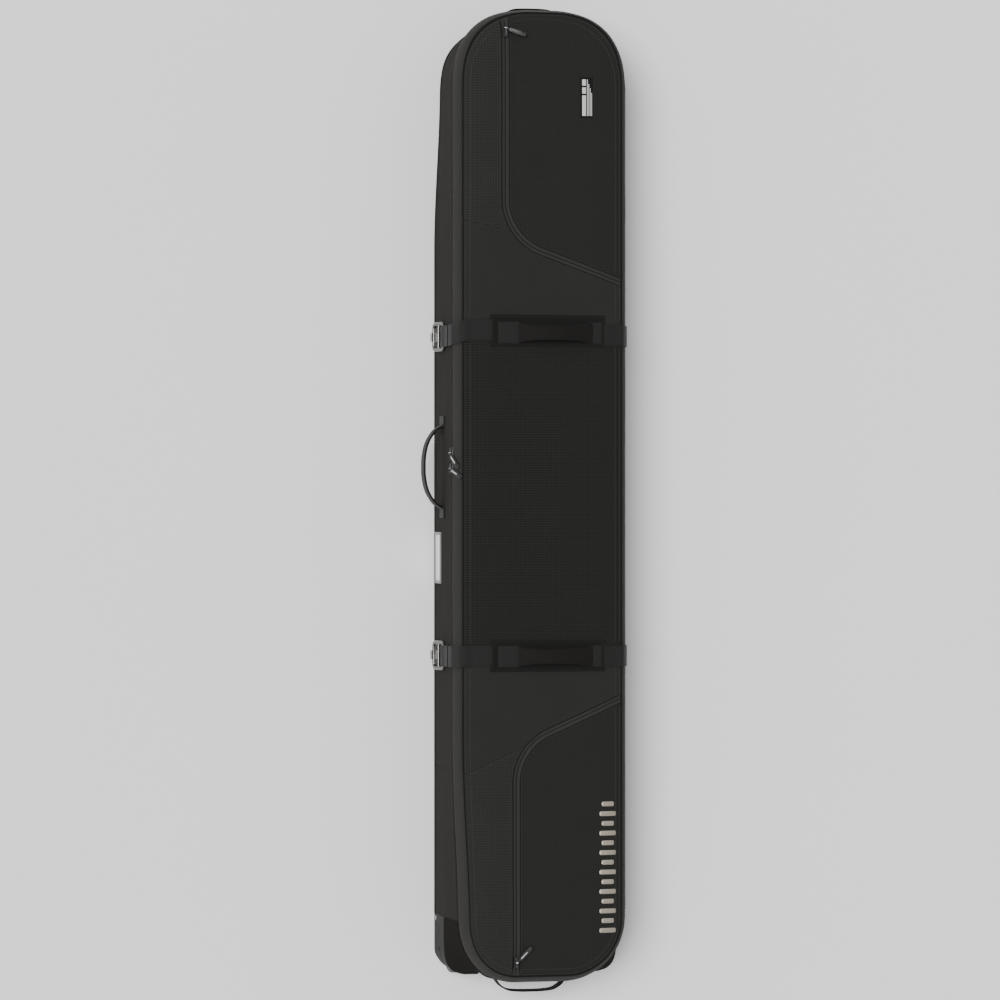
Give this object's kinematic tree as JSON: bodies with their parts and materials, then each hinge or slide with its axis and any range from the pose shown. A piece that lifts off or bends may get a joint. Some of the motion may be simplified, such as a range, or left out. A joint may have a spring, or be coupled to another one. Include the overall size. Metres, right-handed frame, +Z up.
{
  "type": "wheeled snowboard bag",
  "caption": "Long padded travel bag for snowboards with a hinged zipped lid, outside pockets, compression straps, carrying handles and wheels at the foot end.",
  "frame": {"origin": "middle of the back panel's outer face, which lies on the floor", "axes": "+Z up through the lid, +Y along the bag to the head end (the wheels are at -Y), -X is the side where the main zipper opens and +X the side that the lid hinges on"},
  "size_m": [0.3627, 1.7974, 0.2298],
  "materials": {
    "shell_fabric": "plain coated polyester weave, warm charcoal",
    "lid_fabric": "black grid ripstop and twill polyester",
    "pocket_fabric": "black grid ripstop polyester",
    "lining": "padded lining cloth",
    "piping": "cloth-covered piping",
    "zipper_tape": "coil zipper on woven tape",
    "webbing": "woven webbing",
    "grip_webbing": "folded and sewn webbing",
    "black_plastic": "moulded, lightly textured",
    "pull_rubber": "moulded pull with a bright inlay",
    "metal": "polished plated steel",
    "dark_metal": "black plated zinc",
    "steel": "plated steel",
    "hub_plastic": "dark grey moulded hub",
    "urethane": "cast urethane tread",
    "clear_window": "clear flexible window",
    "card": "plain white card",
    "badge": "sewn label and printed bars"
  },
  "bodies": {
    "base": {"back_panel": "shell_fabric", "gusset_zip_side": "shell_fabric", "gusset_hinge_side": "shell_fabric", "gusset_head_end": "shell_fabric", "gusset_foot_end": "shell_fabric", "hinge_band": "shell_fabric", "back_piping": "piping", "base_zip_tape": "zipper_tape", "back_pad": "lining", "wall_pads": "lining", "tie_downs": "webbing", "wheel_housings": "black_plastic", "wheel_axles": "steel", "housing_screws": "steel", "kick_plate": "black_plastic", "side_straps": "webbing", "strap_hooks": "black_plastic", "handle_patches": "webbing", "id_frame": "black_plastic", "id_card": "card", "id_window": "clear_window"},
    "lid": {"lid_shoulder": "shell_fabric", "lid_panel": "lid_fabric", "pocket_panel_head": "pocket_fabric", "pocket_panel_foot": "pocket_fabric", "lid_piping": "piping", "lid_pad": "lining", "lid_zip_tape": "zipper_tape", "pocket_zip_tapes": "zipper_tape", "pocket_liners": "lining", "lid_badges": "badge", "lid_straps": "webbing", "strap_sleeves": "webbing"},
    "wheel_zip_side": {"tyre_zip_side": "urethane", "wheel_hub_zip_side": "hub_plastic", "bearings_zip_side": "steel"},
    "wheel_hinge_side": {"tyre_hinge_side": "urethane", "wheel_hub_hinge_side": "hub_plastic", "bearings_hinge_side": "steel"},
    "slider_head": {"main_slider_head": "dark_metal"},
    "pull_head": {"main_pull_head": "pull_rubber"},
    "slider_foot": {"main_slider_foot": "dark_metal"},
    "pull_foot": {"main_pull_foot": "pull_rubber"},
    "flap_head": {"pocket_flap_head": "pocket_fabric", "flap_zip_tape_head": "zipper_tape"},
    "pocket_slider_head": {"pocket_slider_head": "dark_metal"},
    "pocket_pull_head": {"pocket_pull_head": "pull_rubber"},
    "flap_foot": {"pocket_flap_foot": "pocket_fabric", "flap_zip_tape_foot": "zipper_tape"},
    "pocket_slider_foot": {"pocket_slider_foot": "dark_metal"},
    "pocket_pull_foot": {"pocket_pull_foot": "pull_rubber"},
    "lid_grip_head": {"lid_handle_head": "grip_webbing"},
    "strap_end_head": {"strap_tail_head": "webbing", "strap_ring_head": "metal"},
    "lid_grip_foot": {"lid_handle_foot": "grip_webbing"},
    "strap_end_foot": {"strap_tail_foot": "webbing", "strap_ring_foot": "metal"},
    "side_grip": {"side_handle": "grip_webbing"},
    "foot_grip": {"foot_handle": "grip_webbing"},
    "head_grip": {"head_handle": "grip_webbing"}
  },
  "joints": [
    {"name": "lid_open", "type": "hinge", "parent": "base", "child": "lid", "pos_m": [0.163, 0, 0.165], "axis": [0, 1, 0], "range_deg": [0, 170]},
    {"name": "wheel_zip_side_roll", "type": "hinge", "parent": "base", "child": "wheel_zip_side", "pos_m": [-0.132, -0.829, 0.0453], "axis": [1, 0, 0], "continuous": true},
    {"name": "wheel_hinge_side_roll", "type": "hinge", "parent": "base", "child": "wheel_hinge_side", "pos_m": [0.132, -0.829, 0.0453], "axis": [1, 0, 0], "continuous": true},
    {"name": "main_zip_head", "type": "slide", "parent": "base", "child": "slider_head", "axis": [0, 1, 0], "range_m": [0, 0.54]},
    {"name": "main_pull_head_swing", "type": "hinge", "parent": "slider_head", "child": "pull_head", "pos_m": [-0.1629, 0.078, 0.165], "axis": [0, -1, 0], "range_deg": [0, 170]},
    {"name": "main_zip_foot", "type": "slide", "parent": "base", "child": "slider_foot", "axis": [0, -1, 0], "range_m": [0, 0.57]},
    {"name": "main_pull_foot_swing", "type": "hinge", "parent": "slider_foot", "child": "pull_foot", "pos_m": [-0.1629, 0.05, 0.165], "axis": [0, -1, 0], "range_deg": [0, 170]},
    {"name": "pocket_head_open", "type": "hinge", "parent": "lid", "child": "flap_head", "pos_m": [-0.071, 0.795, 0.207], "axis": [-0.4193, 0.9078, 0], "range_deg": [0, 70]},
    {"name": "pocket_zip_head", "type": "slide", "parent": "lid", "child": "pocket_slider_head", "axis": [0, -1, 0], "range_m": [0, 0.26]},
    {"name": "pocket_pull_head_swing", "type": "hinge", "parent": "pocket_slider_head", "child": "pocket_pull_head", "pos_m": [-0.07, 0.836, 0.2132], "axis": [0, -1, 0], "range_deg": [0, 165]},
    {"name": "pocket_foot_open", "type": "hinge", "parent": "lid", "child": "flap_foot", "pos_m": [-0.051, -0.795, 0.207], "axis": [0.3664, 0.9304, 0], "range_deg": [0, 70]},
    {"name": "pocket_zip_foot", "type": "slide", "parent": "lid", "child": "pocket_slider_foot", "axis": [0, 1, 0], "range_m": [0, 0.26]},
    {"name": "pocket_pull_foot_swing", "type": "hinge", "parent": "pocket_slider_foot", "child": "pocket_pull_foot", "pos_m": [-0.05, -0.84, 0.2132], "axis": [0, -1, 0], "range_deg": [0, 165]},
    {"name": "lid_handle_head_swing", "type": "hinge", "parent": "lid", "child": "lid_grip_head", "pos_m": [0.021, 0.29, 0.2128], "axis": [1, 0, 0], "range_deg": [-30, 30]},
    {"name": "strap_head_unhook", "type": "hinge", "parent": "lid", "child": "strap_end_head", "pos_m": [-0.1628, 0.29, 0.17185], "axis": [0, 1, 0], "range_deg": [0, 130]},
    {"name": "lid_handle_foot_swing", "type": "hinge", "parent": "lid", "child": "lid_grip_foot", "pos_m": [0.021, -0.29, 0.2128], "axis": [1, 0, 0], "range_deg": [-30, 30]},
    {"name": "strap_foot_unhook", "type": "hinge", "parent": "lid", "child": "strap_end_foot", "pos_m": [-0.1628, -0.29, 0.17185], "axis": [0, 1, 0], "range_deg": [0, 130]},
    {"name": "side_handle_swing", "type": "hinge", "parent": "base", "child": "side_grip", "pos_m": [-0.162, 0.053, 0.088], "axis": [0, 1, 0], "range_deg": [-35, 35]},
    {"name": "foot_handle_swing", "type": "hinge", "parent": "base", "child": "foot_grip", "pos_m": [0, -0.88025, 0.088], "axis": [1, 0, 0], "range_deg": [-40, 40]},
    {"name": "head_handle_swing", "type": "hinge", "parent": "base", "child": "head_grip", "pos_m": [0, 0.87917, 0.088], "axis": [1, 0, 0], "range_deg": [-30, 30]}
  ]
}
